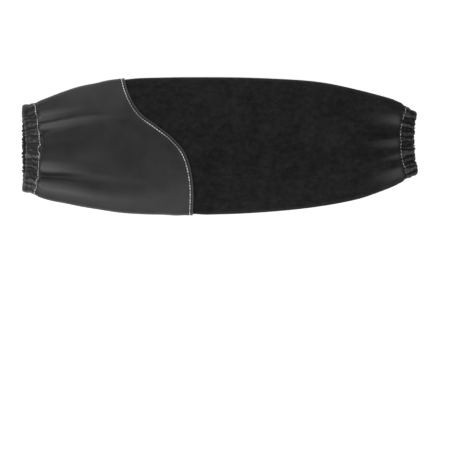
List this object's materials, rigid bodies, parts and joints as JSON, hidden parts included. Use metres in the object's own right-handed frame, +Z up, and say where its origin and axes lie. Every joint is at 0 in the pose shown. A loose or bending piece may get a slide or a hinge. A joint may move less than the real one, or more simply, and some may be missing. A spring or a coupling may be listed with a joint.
{
  "type": "welding sleeve",
  "caption": "Leather forearm sleeve lying flat: smooth upper-arm panel lapped over split suede by an S-shaped seam, gathered elastic cuffs, open at both ends.",
  "frame": {"origin": "on the table plane, under the middle of the sleeve's length and width as it lies", "axes": "+X along the sleeve towards the wrist, +Y across it towards the side fold where the smooth leather is shorter, +Z up from the table"},
  "size_m": [0.4579, 0.1613, 0.0384],
  "materials": {
    "smooth_leather": "smooth dark grey leather with a soft satin sheen and fine grain",
    "split_suede": "matt black split suede with a short mottled nap",
    "elastic": "off-white woven elastic tape",
    "thread": "pale heavy sewing thread"
  },
  "bodies": {
    "root": {"smooth_leather_panel": "smooth_leather", "suede_panel": "split_suede", "upper_arm_cuff_casing": "smooth_leather", "wrist_cuff_casing": "split_suede", "upper_arm_elastic": "elastic", "wrist_elastic": "elastic"}
  },
  "joints": []
}
